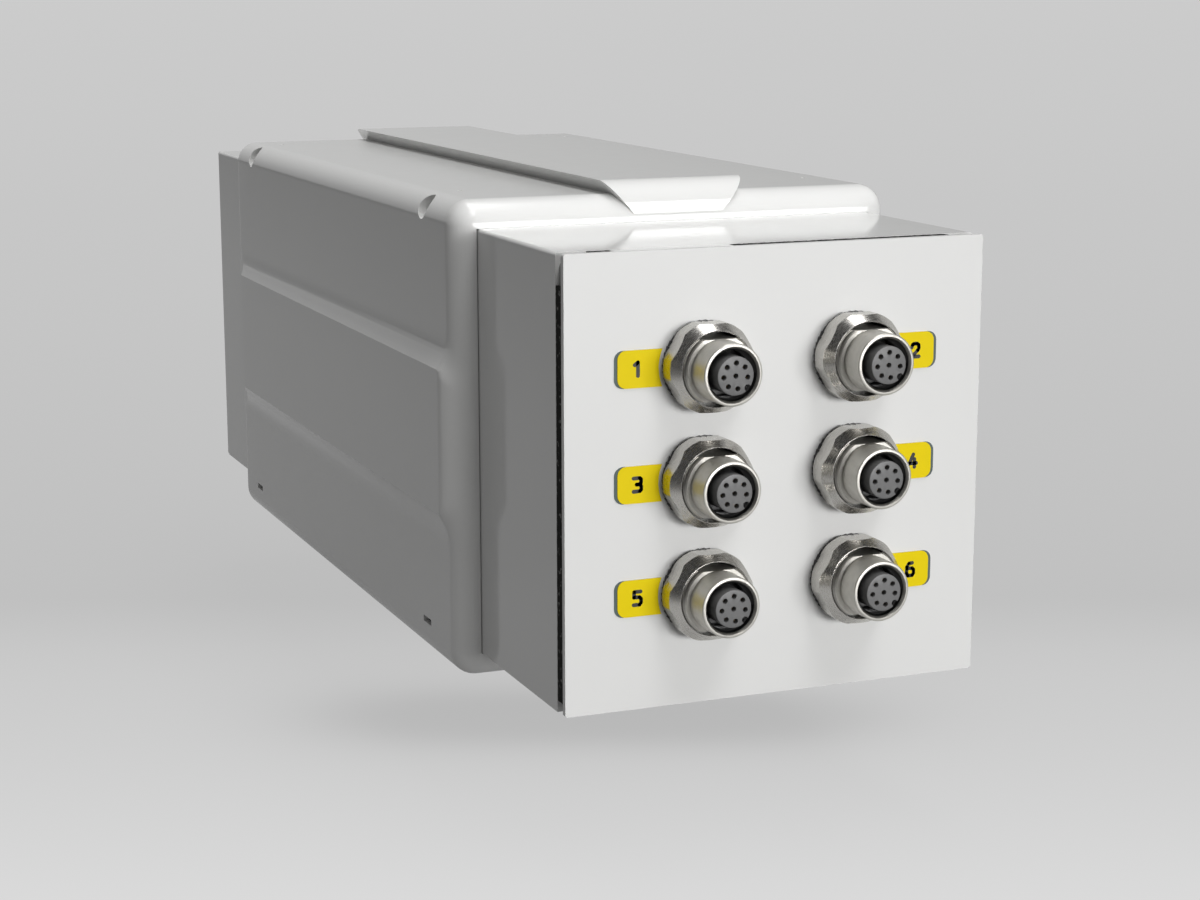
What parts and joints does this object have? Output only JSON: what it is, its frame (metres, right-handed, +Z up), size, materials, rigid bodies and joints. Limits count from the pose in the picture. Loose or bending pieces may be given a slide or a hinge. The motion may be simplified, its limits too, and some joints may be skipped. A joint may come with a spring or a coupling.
{
  "type": "laboratory agitator",
  "caption": "Drive unit of a laboratory agitator: a long square box with round cable sockets on its front plate, held in a moulded sleeve with a dovetail rail on top.",
  "frame": {"origin": "on the sleeve's underside, under the middle of the unit's overall length and width", "axes": "+Z up, -Y towards the front plate with the sockets, +X to the right as seen from the front"},
  "size_m": [0.1166, 0.3304, 0.116],
  "materials": {
    "sleeve_plastic": "satin moulded",
    "white_paint": "satin powder coat",
    "frame_plastic": "moulded",
    "black_rubber": "foam strip and rings",
    "black_plastic": "moulded",
    "nickel": "satin nickel plate",
    "insert_grey": "moulded",
    "contact_metal": "plated",
    "label_yellow": "printed film",
    "screw_steel": "plated",
    "board_green": "solder mask",
    "cage_metal": "bare sheet",
    "core_plastic": "wound core and cans"
  },
  "bodies": {
    "unit": {"sleeve": "sleeve_plastic", "top_cover": "white_paint", "base_tray": "white_paint", "front_plate": "white_paint", "rear_panel": "white_paint", "front_frame": "frame_plastic", "rear_frame": "frame_plastic", "front_seal": "black_rubber", "socket_gaskets": "black_rubber", "latch_lugs": "black_plastic", "fan_frame": "black_plastic", "mains_inlet": "black_plastic", "switch_frame": "black_plastic", "data_socket": "black_plastic", "socket_1_washer": "black_plastic", "socket_2_washer": "black_plastic", "socket_3_washer": "black_plastic", "socket_4_washer": "black_plastic", "socket_5_washer": "black_plastic", "socket_6_washer": "black_plastic", "socket_1_shell": "nickel", "socket_1_nut": "nickel", "socket_2_shell": "nickel", "socket_2_nut": "nickel", "socket_3_shell": "nickel", "socket_3_nut": "nickel", "socket_4_shell": "nickel", "socket_4_nut": "nickel", "socket_5_shell": "nickel", "socket_5_nut": "nickel", "socket_6_shell": "nickel", "socket_6_nut": "nickel", "socket_1_insert": "insert_grey", "socket_2_insert": "insert_grey", "socket_3_insert": "insert_grey", "socket_4_insert": "insert_grey", "socket_5_insert": "insert_grey", "socket_6_insert": "insert_grey", "socket_1_contacts": "contact_metal", "socket_2_contacts": "contact_metal", "socket_3_contacts": "contact_metal", "socket_4_contacts": "contact_metal", "socket_5_contacts": "contact_metal", "socket_6_contacts": "contact_metal", "inlet_pins": "contact_metal", "number_labels": "label_yellow", "base_screws": "screw_steel", "rear_screws": "screw_steel", "fan_screws": "screw_steel", "plate_studs": "screw_steel", "stud_nuts": "screw_steel", "board_standoffs": "screw_steel", "controller_board": "board_green", "driver_modules": "board_green", "power_supply": "cage_metal", "supply_core": "core_plastic"},
    "fan": {"fan_rotor": "black_plastic"},
    "power_rocker": {"rocker": "black_plastic"}
  },
  "joints": [
    {"name": "fan_spin", "type": "hinge", "parent": "unit", "child": "fan", "pos_m": [0, 0.15, 0.0698], "axis": [0, 1, 0], "continuous": true},
    {"name": "rocker_flip", "type": "hinge", "parent": "unit", "child": "power_rocker", "pos_m": [0.003, 0.16035, 0.0282], "axis": [1, 0, 0], "range_deg": [-14, 0]}
  ]
}
